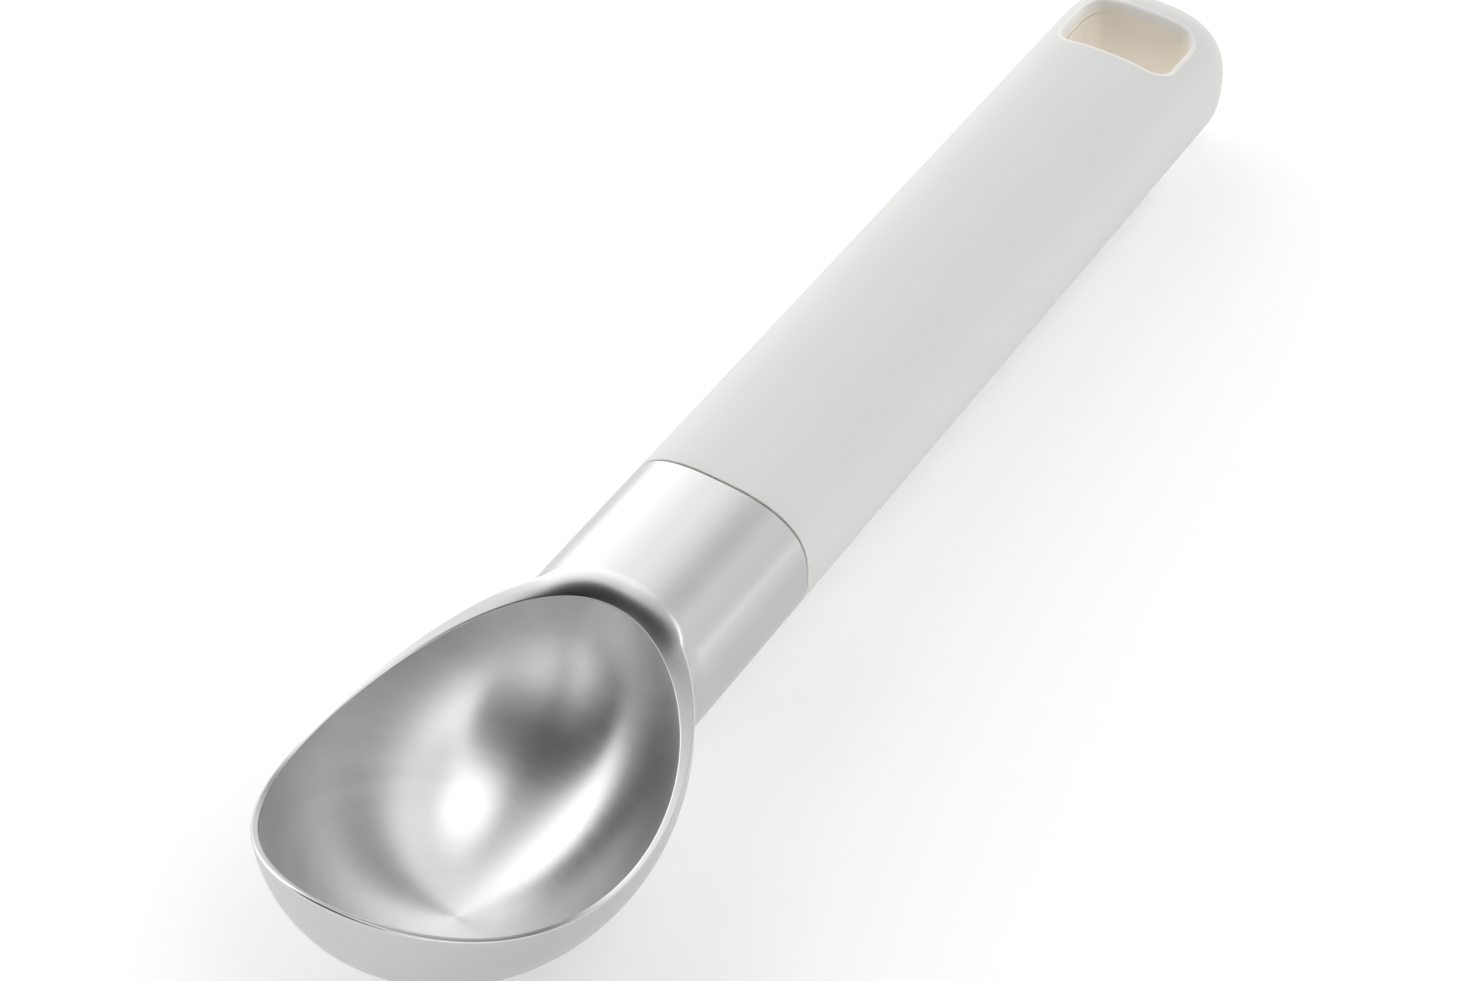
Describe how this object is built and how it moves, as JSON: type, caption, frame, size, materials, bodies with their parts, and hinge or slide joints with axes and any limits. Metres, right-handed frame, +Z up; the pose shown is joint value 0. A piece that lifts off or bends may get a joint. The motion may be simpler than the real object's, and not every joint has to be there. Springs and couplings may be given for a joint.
{
  "type": "ice cream scoop",
  "caption": "One-piece ice cream scoop: an oval cast metal bowl with a dipping rim on a short neck, and a plain off-white grip with a hang hole.",
  "frame": {"origin": "on the table, under the middle of the scoop's box, as it rests on the bowl's foot and the grip's far end", "axes": "+X from the bowl's tip towards the grip's far end, +Z up, the scoop is alike on both sides of Y = 0"},
  "size_m": [0.2204, 0.0488, 0.0396],
  "materials": {
    "satin_metal": "fine satin, polished rim",
    "plain_steel": "plain, hidden",
    "core_plastic": "matte, warm beige",
    "seal_rubber": "matte",
    "grip_plastic": "smooth matte, off-white"
  },
  "bodies": {
    "root": {"scoop_head": "satin_metal", "tang": "plain_steel", "core_pin_front": "plain_steel", "core_pin_rear": "plain_steel", "handle_core": "core_plastic", "joint_seal": "seal_rubber", "grip_skin": "grip_plastic"}
  },
  "joints": []
}
